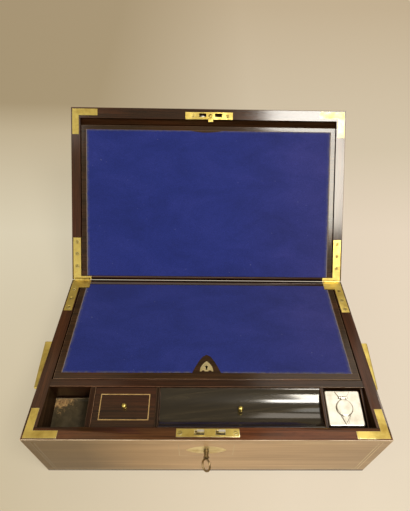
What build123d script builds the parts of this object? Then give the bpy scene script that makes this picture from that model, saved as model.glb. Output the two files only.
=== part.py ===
"""Brass-bound rosewood writing slope, opened on its hinges.

Row frame: origin at the centre of the underside, +X to the right, +Y from the lock to the hinges, +Z up.
One slanted plane parts the base from the lid. The lid's boards are drawn closed and then swung open about
the hinge pins, and everything that lies in a rim is drawn in that rim's own frame: x across, y along the
rim, z out of the wood.
"""
import os
from math import atan2, cos, degrees, hypot, radians, sin

from build123d import *

os.makedirs("parts", exist_ok=True)

# ---- the box ----
width = 450.0
depth = 276.0
front_height = 137.5
back_height = 81.5
lid_front_height = 25.5
opening_angle = 125.7
rim_gap = 0.4
pin_setback = 0.4

# ---- boards ----
side_wall = 16.0
front_wall = 16.5
back_wall = 9.5
bottom_board = 7.0
lid_side_wall = 15.0
lid_far_wall = 16.5
lid_hinge_wall = 6.0
lid_top_board = 7.0

# ---- clearances ----
seat_gap = 0.15
joint_gap = 0.25
slide_gap = 0.3
fit_gap = 0.4

# ---- brass let into the rims ----
plate = 2.0
plate_inset = 2.1
plate_width = 10.5
corner_arm = 41.0
hinge_arm = 69.8
hinge_foot = 31.5
leaf_margin = 0.5
base_foot_width = 18.0
lid_foot_width = 5.6
barrel_radius = 2.6
barrel_inset = 5.0
barrel_length = 24.0
pin_radius = 1.2
pin_gap = 0.08
screw_head = 3.2
screw_shank = 1.5
screw_length = 9.0
screw_slot = 0.8

# ---- main lock ----
lock_x = -1.5
face_plate_length = 77.5
face_plate_width = 11.5
face_plate_inset = 4.2
striker_width = 11.5
striker_inset = 5.1
hook_spacing = 25.8
hooks_x = 2.6
slot_width = 11.5
slot_breadth = 5.6
hook_width = 5.0
hook_breadth = 2.9
hook_rise = 7.0
hook_nose = 3.0
hook_travel = 5.0
nose_clearance = 0.5
bar_overhang = 8.0
guide_half = 5.0
guide_drop = 4.0
key_drop = 38.5
key_radius = 2.75
key_bit = 8.4
bit_half = 1.1
bit_clearance = 0.8
key_collars = ((1.9, 3.5, 1.4), (4.2, 3.2, 1.0))
bow_collar = (1.0, 3.7, 1.8)
key_out = 10.0
key_turned = 52.0
bow_width = 17.0
bow_length = 16.3
bow_wire = 2.2
lock_wall = 1.5
case_inset = 4.0
case_depth = 10.0
case_half = 30.0
case_drop = 13.0
bar_height = 7.0
bar_over_key = 17.0
escutcheon_length = 52.0
escutcheon_height = 31.0
escutcheon_thick = 1.2
button_radius = 2.9
catch_width = 8.0
catch_press = 1.5
tongue_out = 4.0
tongue_thick = 1.4

# ---- front stringing ----
string_width = 1.0
string_depth = 0.6
string_insets = (10.0, 14.0)
panel_width = 70.0
panel_height = 49.6

# ---- compartments ----
partition_front = 73.7
partition_thick = 10.6
rail_drop = 0.5
compartment_drop = 53.5
divider_drop = 16.5
cover_drop = 17.5
floor_board = 6.0
cleat_size = (8.0, 10.0)
lining = 4.0
well_lining_thick = 4.2
well_width = 54.5
well_divider_thick = 7.0
cover_width = 80.0
pen_divider_thick = 4.0
ink_well_width = 55.7
ink_divider_thick = 3.6
cover_board = 4.0
cover_string_inset = (7.5, 9.0)
cover_string = 1.2
ledge = (4.0, 6.0)
bearer_width = 6.0
tray_height = 14.0
tray_scoop = 9.0
tray_edge = 1.4
knob_radius = 3.4
knob_spigot = 1.7
knob_collar = 2.9
collar_height = 0.8

# ---- flaps ----
flap_front_gap = 1.0
flap_side_gap = 1.5
flap_board = 7.0
lid_flap_board = 5.0
flap_drop = 0.6
velvet = 0.9
velvet_drop = 0.3
base_border = 9.0
base_front_border = 10.1
lid_border = 7.8
lid_far_border = 7.0
base_rail_width = 18.55
lid_rail_width = 15.65
rail_thick = 12.0
lid_velvet_start = 6.9
lid_flap_short = 28.0
rest_width = 6.0
rest_height = 8.0
lid_rest_height = 5.0
far_rest_reach = 6.0
lock_gap_half = 24.0
arch_half = 19.5
arch_rise = 31.0
arch_shoulder = (0.66, 0.62)
flap_plate_half = 9.2
flap_plate_rise = 17.0
flap_plate_thick = 1.0
flap_lock_half = 17.0
flap_lock_length = 24.0
flap_lock_height = 10.0
latch_half = 6.0
latch_height = 4.0
latch_travel = 4.5

# ---- inkwell ----
ink_side = 47.0
ink_from_wall = 30.8
ink_from_front = 46.9
glass_height = 27.0
mount_height = 8.0
glass_floor = 6.0
cap_radius = 11.0
cap_height = 2.3
mouth_radius = 10.0
cavity_radius = 14.0
leaf_thick = 1.2
cap_pin_radius = 0.45
catch_thick = 1.3
cap_lug = 2.8
cap_arm = 5.0
wing_foot = 20.0
wing_waist = 11.2
vee_reach = 6.5

# ---- side handles ----
bail_reach = 33.0
bail_half = 38.5
bail_thick = 5.0
bail_grip = 11.0
bail_arm = 6.0
bail_height = 51.5
bail_inset = 3.0
bail_gap = 1.0
trunnion = 1.8
trunnion_gap = 0.1
handle_plate = 2.5
handle_rim = 7.5
pocket_depth = 8.5
lug_length = 5.0
lug_depth = 4.0

# ---- worked out ----
front = -depth / 2
back = depth / 2
closed_height = front_height + lid_front_height
rake = atan2(front_height - back_height, depth)
slope = degrees(rake)
rim_length = hypot(depth, front_height - back_height)
inner = width / 2 - side_wall
lid_inner = width / 2 - lid_side_wall
lean = 180.0 - slope - opening_angle
reach = 2 * (width + depth)
arm_x = width / 2 - plate_inset
leaf_x = lid_inner + leaf_margin
foot_x = width / 2 - hinge_foot
barrel_end = width / 2 - barrel_inset
barrel_start = barrel_end - barrel_length
barrel_room_radius = barrel_radius + fit_gap

floor_top = front_height - compartment_drop
divider_top = front_height - divider_drop
cover_top = front_height - cover_drop
box_front = front_wall + lining
partition_back = partition_front + partition_thick
key_height = front_height - key_drop


def block(x0, x1, y0, y1, z0, z1):
    """A box between two opposite corners."""
    return Pos((x0 + x1) / 2, (y0 + y1) / 2, (z0 + z1) / 2) * Box(x1 - x0, y1 - y0, z1 - z0)


def from_front(x0, x1, y0, y1, z0, z1):
    """A box whose y values are measured back from the front face."""
    return block(x0, x1, front + y0, front + y1, z0, z1)


def beyond(frame, z):
    """All the space on the outer side of a plane across a frame."""
    return frame * block(-reach, reach, -reach, reach, z, z + reach)


def within(frame, z):
    """All the space on the inner side of a plane across a frame."""
    return frame * block(-reach, reach, -reach, reach, z - reach, z)


def before(y):
    """All the space nearer than a distance from the front face."""
    return from_front(-reach, reach, y - reach, y, -reach, reach)


def behind(y):
    """All the space farther than a distance from the front face."""
    return from_front(-reach, reach, y, y + reach, -reach, reach)


def across(x, y, z, radius, length):
    """A cylinder lying along X."""
    return Pos(x, y, z) * Rot(0, 90, 0) * Cylinder(radius, length)


def inward(y, radius, length):
    """A cylinder lying along Y, centred on x = 0 and z = 0."""
    return Pos(0, y, 0) * Rot(90, 0, 0) * Cylinder(radius, length)


def mirrored(shape):
    """The same piece on the other side of the box."""
    return mirror(shape, about=Plane.YZ)


def pair(shape):
    """A piece and its mirror image."""
    return [shape, mirrored(shape)]


def cut(shape, *tools):
    """A piece with each tool taken out of it in turn."""
    for tool in tools:
        shape -= tool
    return shape


def save(name, *shapes):
    """Write one named piece, or a group of like pieces, to its own STEP file."""
    made = shapes[0] if len(shapes) == 1 else Compound(children=list(shapes))
    export_step(made, f"parts/{name}.step")


# Frames. The pins lie just behind the back face, half-way between the two closed rims.
rim = Location((0, front, front_height), (-slope, 0, 0))
lid_end = rim_length + pin_setback
pin_rise = rim_gap / 2
pin_y = front + lid_end * cos(rake) + pin_rise * sin(rake)
pin_z = front_height - lid_end * sin(rake) + pin_rise * cos(rake)
pin_axis = Axis((0, pin_y, pin_z), (-1, 0, 0))
lean_r = radians(lean)
lid_rim = Location((0, pin_y + pin_rise * sin(lean_r), pin_z - pin_rise * cos(lean_r)), (lean, 0, 0))
shut_rim = Location((0, pin_y + pin_rise * sin(rake), pin_z + pin_rise * cos(rake)), (180 - slope, 0, 0))


def swung(shape):
    """Swing a piece drawn on the closed lid to the opened pose."""
    return shape.rotate(pin_axis, opening_angle)


def screw_body():
    """The countersunk head and tapering shank of a wood screw, its head flush with z = 0."""
    head = Pos(0, 0, -plate / 2) * Cone(screw_head * 0.55, screw_head, plate)
    shank = Pos(0, 0, -screw_length / 2) * Cone(screw_shank / 3, screw_shank, screw_length)
    return head + shank


def screw(turn):
    """One slotted screw."""
    return screw_body() - Rot(0, 0, turn) * Box(3 * screw_head, screw_slot, screw_head / 2.5)


def string_frame(w, h, line):
    """A rectangular line of stringing, outer size w by h, its face at z = 0."""
    ring = Rectangle(w, h) - Rectangle(w - 2 * line, h - 2 * line)
    return Pos(0, 0, -string_depth) * extrude(ring, string_depth)


# ---- brass corner plates ----
def corner_plate():
    """An L-shaped plate for the right-hand corner at y = 0."""
    arm = block(arm_x - corner_arm, arm_x, plate_inset, plate_inset + plate_width, -plate, 0)
    return arm + block(arm_x - plate_width, arm_x, plate_inset, plate_inset + corner_arm, -plate, 0)


base_corners = pair(rim * corner_plate())
lid_corners = pair(lid_rim * (Pos(0, lid_end, -plate) * Rot(180, 0, 0) * corner_plate()))


# ---- knuckle hinges ----
def barrel(x0, x1, radius):
    """A length of the hinge barrel, drawn about the pins."""
    return across((x0 + x1) / 2, pin_y, pin_z, radius, x1 - x0)


knuckle = barrel_length / 3
knuckle_ends = [barrel_start, barrel_start + knuckle, barrel_end - knuckle, barrel_end]
barrel_room = pair(barrel(barrel_start - fit_gap, barrel_end + fit_gap, barrel_room_radius))


def hinge_leaf(frame, y0, y1, y2, y3, own, others, bore):
    """An L-shaped leaf: the arm runs y0 to y1, the foot y2 to y3, and it carries its own knuckles."""
    seat = frame * (block(leaf_x, arm_x, y0, y1, -plate, 0) + block(foot_x, arm_x, y2, y3, -plate, 0))
    leaf = seat
    for k in others:
        leaf -= barrel(knuckle_ends[k] - slide_gap, knuckle_ends[k + 1] + slide_gap, barrel_room_radius)
    for k in own:
        leaf += barrel(knuckle_ends[k] + slide_gap / 2, knuckle_ends[k + 1] - slide_gap / 2, barrel_radius)
    leaf -= barrel(barrel_start - slide_gap, barrel_end + slide_gap, bore)
    return seat, leaf


base_leaf_seat, base_leaf = hinge_leaf(rim, rim_length - hinge_arm, rim_length, rim_length - base_foot_width,
                                       rim_length, (0, 2), (1,), pin_radius)
lid_leaf_seat, lid_leaf = hinge_leaf(lid_rim, pin_setback, hinge_arm, pin_setback, pin_setback + lid_foot_width,
                                     (1,), (0, 2), pin_radius + pin_gap)
hinge_pin = barrel(barrel_start, barrel_end, pin_radius)

# ---- screw positions ----
arm_screws = [hinge_arm * share for share in (0.32, 0.62, 0.9)]
arm_middle = (arm_x + leaf_x) / 2
face_middle = face_plate_inset + face_plate_width / 2
striker_middle = lid_end - striker_inset - striker_width / 2
base_spots = [rim * Pos(x, rim_length - y, 0) for y in arm_screws for x in (-arm_middle, arm_middle)]
face_spots = [rim * Pos(face_plate_length * (share - 0.5), face_middle, 0) for share in (0.06, 0.935)]
lid_spots = [lid_rim * Pos(x, y, 0) for y in arm_screws for x in (-arm_middle, arm_middle)]
striker_spots = [lid_rim * Pos(face_plate_length * (share - 0.5), striker_middle, 0) for share in (0.164, 0.894)]
base_seats = [spot * screw_body() for spot in base_spots]
face_seats = [spot * screw_body() for spot in face_spots]
lid_seats = [spot * screw_body() for spot in lid_spots]
striker_seats = [spot * screw_body() for spot in striker_spots]
base_leaf = cut(base_leaf, *base_seats)
lid_leaf = cut(lid_leaf, *lid_seats)

# ---- main lock: case, face plate, hook bar and key ----
hook_spots = [hooks_x - hook_spacing / 2, hooks_x + hook_spacing / 2]
slot_y = face_middle + 0.25
slot = block(-slot_width / 2, slot_width / 2, -slot_breadth / 2, slot_breadth / 2, -2 * plate, plate)
face_seat = rim * block(-face_plate_length / 2, face_plate_length / 2, face_plate_inset,
                        face_plate_inset + face_plate_width, -plate, 0)
base_slots = [rim * Pos(x, slot_y, 0) * slot for x in hook_spots]
face_plate = cut(face_seat, *base_slots, *face_seats)

case_floor = key_height - case_drop
case_back = case_inset + case_depth
bar_bottom = key_height + bar_over_key
case_block = from_front(-case_half, case_half, case_inset, case_back, case_floor, front_height)
case_block -= beyond(rim, -plate)
case_room = from_front(lock_wall - case_half, case_half - lock_wall, case_inset + lock_wall, case_back - lock_wall,
                       case_floor + lock_wall, front_height)
case_room -= beyond(rim, -plate - lock_wall)
for x in (-case_half * 2 / 3, case_half * 2 / 3):
    case_room -= from_front(x - guide_half, x + guide_half, case_inset, case_back, bar_bottom - guide_drop,
                            bar_bottom - seat_gap)
key_line = Pos(lock_x, 0, key_height)
keyhole = key_line * (inward(front, key_radius + joint_gap, 2 * (case_inset + lock_wall) + 1)
                      + block(-bit_half - bit_clearance, bit_half + bit_clearance, front - case_inset,
                              front + case_inset + 2 * lock_wall, -key_bit - bit_clearance, 0))
lock_case = cut(case_block - case_room, keyhole, *[rim * Pos(x, slot_y, -plate) * slot for x in hook_spots])

hook_front = slot_y * cos(rake) - hook_breadth / 2
hook_bar = from_front(hook_spots[0] - bar_overhang, hook_spots[1] + bar_overhang,
                      case_inset + lock_wall + slide_gap, case_back - lock_wall - slide_gap, bar_bottom,
                      bar_bottom + bar_height)
nose_under = plate + rim_gap + nose_clearance
for x in hook_spots:
    right = x + slot_width / 2 - slide_gap
    shank = from_front(right - hook_width, right, hook_front, hook_front + hook_breadth, bar_bottom, closed_height)
    nose = from_front(right - hook_width - hook_nose, right - 1, hook_front, hook_front + hook_breadth, bar_bottom,
                      closed_height)
    hook_bar += cut(shank, beyond(rim, hook_rise)) + cut(nose, beyond(rim, hook_rise), within(rim, nose_under))

shaft_end = front + case_back - lock_wall - 1.5
key = inward((front - key_out + shaft_end) / 2, key_radius, shaft_end - front + key_out)
for y, radius, thick in (*key_collars, (key_out - bow_collar[0], bow_collar[1], bow_collar[2])):
    key += inward(front - y, radius, thick)
bow_hole = Ellipse(bow_width / 2 - bow_wire, bow_length / 2 - bow_wire)
bow = Pos(0, front - key_out - bow_length / 2 + 0.2, -bow_wire / 2) * extrude(
    Ellipse(bow_width / 2, bow_length / 2) - bow_hole, bow_wire)
bow = chamfer(bow.edges(), bow_wire / 4)
key += bow + block(-bit_half, bit_half, front + case_inset + lock_wall + 0.7, shaft_end - 0.4, -key_bit, 0)
key = key_line * Rot(0, key_turned, 0) * key

half_length = escutcheon_length / 2
half_height = escutcheon_height / 2
lens = make_face([
    ThreePointArc((-half_length, 0), (0, half_height), (half_length, 0)),
    ThreePointArc((half_length, 0), (0, -half_height), (-half_length, 0)),
])
front_face = Pos(0, front, 0) * Rot(90, 0, 0)
escutcheon_seat = front_face * Pos(lock_x, key_height, -escutcheon_thick) * extrude(lens, escutcheon_thick)
escutcheon = escutcheon_seat - keyhole

strings = [front_face * Pos(lock_x, key_height, 0) * string_frame(panel_width, panel_height, string_width)]
for inset in string_insets:
    strings.append(front_face * Pos(0, front_height / 2 + 1, 0) * string_frame(
        width - 2 * inset, front_height - 2 * inset + 4, string_width))

# ---- base case ----
bottom = block(-width / 2, width / 2, front, back, 0, bottom_board)
front_board = from_front(-width / 2, width / 2, 0, front_wall, bottom_board, closed_height)
front_board = cut(front_board, beyond(rim, 0), *base_corners, face_seat, *face_seats, case_block, keyhole,
                  escutcheon_seat, *strings)
back_board = block(-width / 2, width / 2, back - back_wall, back, bottom_board, closed_height)
back_board = cut(back_board, beyond(rim, 0), *pair(base_leaf_seat), *barrel_room, *base_seats)
base_side = block(inner, width / 2, front + front_wall, back - back_wall, bottom_board, closed_height)
base_side = cut(base_side, beyond(rim, 0), base_corners[0], base_leaf_seat, *base_seats)

# ---- side handles ----
pivot_x = width / 2 - bail_inset
window_bottom = bail_height - bail_reach - bail_gap
window_top = bail_height + bail_thick / 2 + 2 * bail_gap
window_half = bail_half + bail_gap
lug_half = window_half + lug_length
plate_back = width / 2 - handle_plate
window = block(plate_back - pocket_depth, width / 2 + pocket_depth, -window_half, window_half, window_bottom,
               window_top)
handle_seat = block(plate_back, width / 2, -window_half - handle_rim, window_half + handle_rim,
                    window_bottom - handle_rim, window_top + handle_rim)
lugs = block(pivot_x - lug_depth, plate_back, -lug_half, lug_half, bail_height - lug_depth, window_top)
pivot = Pos(pivot_x, 0, bail_height)
pivot_bore = pivot * inward(0, trunnion + trunnion_gap, 2 * (window_half + lug_length - 1))
base_side = cut(base_side, handle_seat, lugs, window)
handle_back = cut(handle_seat + lugs, window, pivot_bore)

side_face = Pos(width / 2, 0, 0) * Rot(0, 90, 0)
spot_y = window_half + handle_rim / 2
handle_spots = [side_face * Pos(-z, y, 0) for z in (window_bottom, window_top) for y in (-spot_y, spot_y)]
handle_seats = [spot * screw_body() for spot in handle_spots]
handle_back = cut(handle_back, *handle_seats)
base_side = cut(base_side, *handle_seats)

bail_outline = block(-bail_thick / 2, bail_reach, -bail_half, bail_half, -bail_thick / 2, bail_thick / 2)
bail_hole = block(-bail_reach, bail_reach - bail_grip, bail_arm - bail_half, bail_half - bail_arm, -bail_thick,
                  bail_thick)
bail = bail_outline - bail_hole
bail = fillet(bail.edges().filter_by(Axis.Y).group_by(Axis.X)[-1], bail_thick / 3)
bail = fillet(bail.edges().filter_by(Axis.Z).group_by(Axis.X)[-1], bail_thick / 3)
pins = inward(0, trunnion, 2 * (window_half + lug_length - 2))
bail = pivot * (bail + (pins - block(-reach, reach, bail_arm - bail_half, bail_half - bail_arm, -reach, reach)))

# ---- compartments in the base ----
well_x = (-inner, -inner + well_width)
cover_x = (well_x[1] + well_divider_thick, well_x[1] + well_divider_thick + cover_width)
ink_x = (inner - ink_well_width, inner)
tray_x = (cover_x[1] + pen_divider_thick, ink_x[0] - ink_divider_thick)
floor = from_front(-inner, inner, front_wall, partition_back, floor_top - floor_board, floor_top)
cleat = from_front(inner - cleat_size[0], inner, front_wall, partition_back,
                   floor_top - floor_board - cleat_size[1], floor_top - floor_board)
rail = from_front(-inner, inner, partition_front, partition_back, floor_top, closed_height) - beyond(rim, -rail_drop)
front_lining = from_front(-inner, inner, front_wall, box_front, floor_top, cover_top)


def divider(x0, x1, top):
    """An upright board from the front lining to the partition."""
    return from_front(x0, x1, box_front, partition_front, floor_top, top)


ledge_top = cover_top - cover_board
ledges = [
    from_front(*cover_x, y, y + ledge[0], ledge_top - ledge[1], ledge_top - seat_gap)
    for y in (box_front, partition_front - ledge[0])
]
box_y = (box_front + fit_gap, partition_front - fit_gap)
box_middle = front + sum(box_y) / 2


def knob(stem):
    """A turned ball knob with its collar and a spigot let into the wood at z = 0."""
    ball = Pos(0, 0, stem + knob_radius * 0.9) * Sphere(knob_radius)
    spigot = Pos(0, 0, stem / 2 - 0.5) * Cylinder(knob_spigot, stem + 5)
    collar = Pos(0, 0, collar_height / 2) * Cylinder(knob_collar, collar_height)
    return ball + spigot + collar


def pull(surface, panel, spot, stem):
    """A knob standing at a spot, and the panel cut to seat it."""
    seat = Pos(0, 0, -1) * Cylinder(knob_spigot, 4) + Pos(0, 0, collar_height / 2) * Cylinder(
        knob_collar, collar_height)
    panel = panel - spot * seat
    return spot * knob(stem) - panel, panel


cover_panel = from_front(cover_x[0] + fit_gap, cover_x[1] - fit_gap, *box_y, ledge_top, cover_top)
cover_at = Pos(sum(cover_x) / 2, box_middle, cover_top)
cover_line = cover_at * string_frame(cover_width - 2 * fit_gap - 2 * cover_string_inset[0],
                                     box_y[1] - box_y[0] - 2 * cover_string_inset[1], cover_string)
cover_panel -= cover_line
cover_knob, cover_panel = pull(cover_top, cover_panel, cover_at, 0.9)

tray_floor = cover_top - tray_height
tray = from_front(tray_x[0] + fit_gap, tray_x[1] - fit_gap, *box_y, tray_floor, cover_top)
chord = (box_y[1] - box_y[0]) / 2 - tray_edge
scoop_radius = (chord**2 + tray_scoop**2) / (2 * tray_scoop)
tray_middle = sum(tray_x) / 2
tray -= across(tray_middle, box_middle, cover_top + scoop_radius - tray_scoop, scoop_radius, width)
tray_knob, tray = pull(cover_top, tray, Pos(tray_middle, box_middle, cover_top - tray_scoop), 1.2)
bearers = [
    from_front(x, x + bearer_width, box_front, partition_front, floor_top, tray_floor - seat_gap)
    for x in (tray_x[0], tray_x[1] - bearer_width)
]

# ---- inkwell ----
ink_at = Pos(inner - ink_from_wall, front + ink_from_front, floor_top + seat_gap)


def ink_block(side, z0, z1):
    """A square block with rounded upright corners."""
    return Pos(0, 0, z0) * extrude(RectangleRounded(side, side, side / 16), z1 - z0)


mount_top = glass_height + mount_height
glass = ink_block(ink_side - 2 * slide_gap, 0, glass_height)
glass -= Pos(0, 0, glass_height) * Cylinder(cavity_radius, 2 * (glass_height - glass_floor))
mount = ink_block(ink_side, glass_height, mount_top)
mount = fillet(mount.edges().group_by(Axis.Z)[-1], mount_height / 5)
mount -= Pos(0, 0, mount_top) * Cylinder(mouth_radius, 4 * mount_height)
cap_pin_y = cap_radius + 2.4
cap_pin_z = mount_top + leaf_thick + 0.1
wing_y = (cap_pin_y + 1.7, ink_side / 2 - 2)
wings = make_face(Polyline((-wing_foot / 2, wing_y[1]), (-wing_waist / 2, wing_y[0]), (wing_waist / 2, wing_y[0]),
                           (wing_foot / 2, wing_y[1]), close=True))
mount += Pos(0, 0, mount_top) * extrude(wings, leaf_thick)
for x in (-cap_arm / 2 - slide_gap - cap_lug / 2, cap_arm / 2 + slide_gap + cap_lug / 2):
    mount += Pos(x, cap_pin_y + 1.1, mount_top + leaf_thick / 2 - 0.1) * Box(cap_lug, 2.4, leaf_thick + 0.2)
    mount += across(x, cap_pin_y, cap_pin_z, leaf_thick + 0.2, cap_lug)
cap_bore = across(0, cap_pin_y, cap_pin_z, cap_pin_radius + 0.05, 4 * cap_arm)
mount -= cap_bore
cap_pin = across(0, cap_pin_y, cap_pin_z, cap_pin_radius, cap_arm + 2 * cap_lug)

cap = Pos(0, 0, mount_top + seat_gap + cap_height / 2) * Cylinder(cap_radius, cap_height)
cap = fillet(cap.edges().group_by(Axis.Z)[-1], cap_height * 0.6)
cap += Pos(0, cap_pin_y - 2, cap_pin_z + 0.1) * Box(cap_arm, 4, leaf_thick + 0.3)
cap -= across(0, cap_pin_y, cap_pin_z, leaf_thick + 0.4, 4 * cap_arm) - Box(cap_arm, reach, reach)
cap += across(0, cap_pin_y, cap_pin_z, leaf_thick - 0.1, cap_arm)
cap -= cap_bore

catch_pin_y = ink_side / 2 - 1.75
vee = make_face(Polyline((-vee_reach, -9.9), (-1.1, -catch_pin_y), (1.1, -catch_pin_y), (vee_reach, -9.9),
                         (0.6 * vee_reach, -12.4), (0, -19.2), (-0.6 * vee_reach, -12.4), close=True))
catch = extrude(vee - Circle(cap_radius + fit_gap), catch_thick)
catch += across(0, -catch_pin_y, catch_thick / 2, catch_thick / 2, 2.2)
catch = Pos(0, 0, mount_top + joint_gap / 5) * catch

# ---- base flap ----
flap_half = inner - flap_side_gap
flap_joint = rim_length - base_rail_width
flap_under = -flap_drop - flap_board
flap_edge = partition_back + flap_front_gap
velvet_front = (flap_edge + base_front_border) / cos(rake) + 0.2
velvet_half = flap_half - base_border


def velvet_layer(half, y0, y1):
    """A sheet of velvet standing a little proud of the wood around it."""
    return block(-half, half, y0, y1, -velvet_drop - velvet, -velvet_drop)


def gothic(half, rise, thick):
    """A pointed arch standing on y = 0, drawn down from z = 0."""
    shoulder = (half * arch_shoulder[0], rise * arch_shoulder[1])
    arch = make_face([
        Line((-half, 0), (half, 0)),
        ThreePointArc((half, 0), shoulder, (0, rise)),
        ThreePointArc((0, rise), (-shoulder[0], shoulder[1]), (-half, 0)),
    ])
    return Pos(0, 0, -thick) * extrude(arch, thick)


flap_velvet = velvet_layer(velvet_half, velvet_front, flap_joint - joint_gap)
flap_velvet -= Pos(lock_x, velvet_front - 0.01, 0) * gothic(arch_half, arch_rise, 3 * velvet)
plate_foot = velvet_front + 2.4
flap_plate_seat = Pos(lock_x, plate_foot, -flap_drop) * gothic(flap_plate_half, flap_plate_rise, flap_plate_thick)
for x in (lock_x - flap_plate_half / 2, lock_x + flap_plate_half / 2):
    flap_plate_seat -= Pos(x, plate_foot - 0.8, 0) * Cylinder(flap_plate_half * 0.28, flap_board)
flap_key_y = plate_foot + flap_plate_rise * 0.46
flap_keyhole = Pos(lock_x, flap_key_y, flap_under) * Cylinder(1.9, 2 * flap_board + 1)
flap_keyhole += block(lock_x - 1, lock_x + 1, flap_key_y - 5, flap_key_y, flap_under - lock_wall, 0)
flap_plate = flap_plate_seat - flap_keyhole
flap_wood = block(-flap_half, flap_half, 0, flap_joint - joint_gap, flap_under, -flap_drop)
flap_wood = cut(flap_wood, flap_velvet, flap_plate_seat, flap_keyhole)
flap_wood = rim * flap_wood - before(flap_edge)

lock_left = lock_x - flap_lock_half
lock_right = lock_x + flap_lock_half
lock_end = flap_edge + flap_lock_length + 2.7
flap_lock = rim * block(lock_left, lock_right, 0, lock_end, flap_under - flap_lock_height, flap_under)
flap_lock -= before(flap_edge + flap_front_gap)
flap_lock_room = rim * block(lock_left + lock_wall, lock_right - lock_wall, 0, lock_end - lock_wall,
                             flap_under - flap_lock_height + lock_wall, flap_under - lock_wall)
flap_lock_room -= before(flap_edge + flap_front_gap + lock_wall)
latch_middle = flap_under - flap_lock_height / 2


def latch_block(clear, y1):
    """The latch's section, with a clearance all round, from the front to y1."""
    half = latch_half + clear
    rise = latch_height / 2 + clear
    return rim * block(lock_x - half, lock_x + half, 0, y1, latch_middle - rise, latch_middle + rise)


flap_lock = cut(flap_lock, flap_lock_room, latch_block(slide_gap, flap_edge + 12), rim * flap_keyhole)
latch = latch_block(0, flap_edge + 15.7) - before(flap_edge + slide_gap)
rail -= latch_block(1.0, lock_end) - before(flap_edge - latch_travel - 1.5)

rest_top = flap_under - seat_gap
rest_front = partition_back + rest_width - 1
side_rest = rim * block(inner - rest_width, inner, 0, flap_joint - 2, rest_top - rest_height, rest_top)
side_rest -= before(rest_front)
front_rest = rim * block(lock_gap_half, inner, 0, flap_joint, rest_top - rest_height, rest_top)
front_rest = cut(front_rest, before(partition_back), behind(rest_front))

back_inside = depth - back_wall
back_rail = rim * block(-inner, inner, flap_joint + joint_gap, rim_length + rail_thick, -rail_thick,
                        -velvet_drop - velvet)
back_rail = cut(back_rail, behind(back_inside), *pair(base_leaf_seat))
rail_velvet = rim * velvet_layer(foot_x, flap_joint + joint_gap, rim_length) - behind(back_inside)

# ---- lid boards, drawn closed ----
lid_under = closed_height - lid_top_board


def lid_part(x0, x1, y0, y1):
    """An upright board of the lid, from the rim to the top board, swung open."""
    return swung(from_front(x0, x1, y0, y1, 0, lid_under) - beyond(shut_rim, 0))


lid_back_inside = depth - lid_hinge_wall
top_board = swung(block(-width / 2, width / 2, front, back, lid_under, closed_height))
far_board = lid_part(-width / 2, width / 2, 0, lid_far_wall)
hinge_board = lid_part(-width / 2, width / 2, lid_back_inside, depth)
lid_side = lid_part(lid_inner, width / 2, lid_far_wall, lid_back_inside)
lid_flap_joint = lid_rail_width + pin_setback
lid_rail = lid_rim * block(-lid_inner, lid_inner, 0, lid_flap_joint - joint_gap, -rail_thick, -velvet_drop - velvet)
lid_rail = cut(lid_rail, swung(behind(lid_back_inside)), *pair(lid_leaf_seat))

lid_flap_half = lid_inner - flap_side_gap
lid_velvet_half = lid_flap_half - lid_border
lid_flap_end = lid_end - lid_flap_short
lid_rail_velvet = lid_rim * velvet_layer(lid_velvet_half, lid_velvet_start, lid_flap_joint - joint_gap)
lid_flap_under = -flap_drop - lid_flap_board
lid_flap_velvet = velvet_layer(lid_velvet_half, lid_flap_joint + joint_gap, lid_flap_end - lid_far_border)
lid_flap_wood = block(-lid_flap_half, lid_flap_half, lid_flap_joint + joint_gap, lid_flap_end, lid_flap_under,
                      -flap_drop)
lid_flap_wood -= lid_flap_velvet
lid_rest_top = lid_flap_under - seat_gap
far_rest_start = lid_flap_end - far_rest_reach
far_rest = lid_rim * block(-lid_inner, lid_inner, far_rest_start, lid_end, lid_rest_top - lid_rest_height,
                           lid_rest_top)
far_rest -= swung(before(lid_far_wall))
side_rest_lid = lid_rim * block(lid_inner - rest_width, lid_inner, lid_flap_joint + 2, far_rest_start,
                                lid_rest_top - lid_rest_height, lid_rest_top)

# ---- striker plate and the catch of the lid flap ----
striker_edge = lid_end - striker_inset - striker_width
hook_y = lid_end - slot_y + pin_setback
striker_seat = lid_rim * block(-face_plate_length / 2, face_plate_length / 2, striker_edge, lid_end - striker_inset,
                               -plate, 0)
catch_half = catch_width / 2
catch_post = 1.1
post_room = block(hooks_x - catch_half - fit_gap, hooks_x + catch_half + fit_gap, far_rest_start,
                  striker_edge + catch_post + fit_gap, -plate - catch_press, plate)
striker = cut(striker_seat, lid_rim * post_room, *striker_seats,
              lid_rim * Pos(hooks_x, striker_middle, 0) * Cylinder(button_radius + joint_gap, 4 * plate),
              *[lid_rim * Pos(x, hook_y, 0) * slot for x in hook_spots])
hook_rooms = [
    lid_rim * block(x - slot_width / 2 - hook_nose, x + slot_width / 2 + slide_gap, hook_y - slot_breadth / 2,
                    hook_y + slot_breadth / 2, -hook_rise - plate, -plate) for x in hook_spots
]
lever_top = -plate - 0.3
lever_bottom = lever_top - 1.8
button = Pos(hooks_x, striker_middle, -button_radius - 1.7) * Sphere(button_radius * 1.6)
button = cut(button, block(-reach, reach, -reach, reach, -reach, -0.9))
button += Pos(hooks_x, striker_middle, (lever_bottom - 0.9) / 2) * Cylinder(button_radius, -0.9 - lever_bottom)
button = button & (Pos(hooks_x, striker_middle, -plate) * Cylinder(button_radius, 3 * plate))
left = hooks_x - catch_half
right = hooks_x + catch_half
flap_catch = button + block(left, right, striker_edge - tongue_out, striker_edge + catch_post,
                            -velvet_drop - tongue_thick, -velvet_drop)
flap_catch += block(left, right, striker_edge, striker_middle, lever_bottom, lever_top)
flap_catch += block(left, right, striker_edge, striker_edge + catch_post, lever_bottom, -velvet_drop)
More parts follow.
